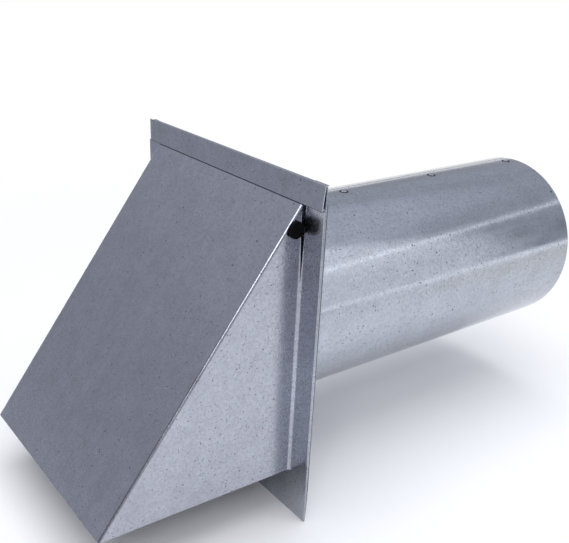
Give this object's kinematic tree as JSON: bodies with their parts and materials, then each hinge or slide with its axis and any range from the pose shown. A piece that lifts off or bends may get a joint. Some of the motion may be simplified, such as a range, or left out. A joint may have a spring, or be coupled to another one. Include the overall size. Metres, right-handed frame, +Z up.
{
  "type": "wall vent cap",
  "caption": "Galvanised wall vent cap: slanted open-bottomed hood on a back plate, with a round duct pipe behind and a hanging damper flap inside.",
  "frame": {"origin": "on the pipe's axis, in the plane of the wall that the back plate's hems rest on", "axes": "+X to the right side as seen from outside, +Y along the pipe into the wall, +Z up"},
  "size_m": [0.1854, 0.4047, 0.2149],
  "materials": {
    "hood_steel": "galvanised, fine spangle",
    "plate_steel": "galvanised, fine spangle",
    "pipe_steel": "galvanised, rolled",
    "rivet_steel": "satin",
    "flap_steel": "galvanised, fine spangle",
    "rod_steel": "drawn wire",
    "black_cap": "matte black"
  },
  "bodies": {
    "housing": {"hood": "hood_steel", "back_plate": "plate_steel", "duct_pipe": "pipe_steel", "seam_rivets": "rivet_steel"},
    "damper": {"damper_flap": "flap_steel", "damper_axle": "rod_steel", "axle_cap": "black_cap"}
  },
  "joints": [
    {"name": "damper_hinge", "type": "hinge", "parent": "housing", "child": "damper", "pos_m": [0, -0.0087, 0.0778], "axis": [-1, 0, 0], "range_deg": [0, 36]}
  ]
}
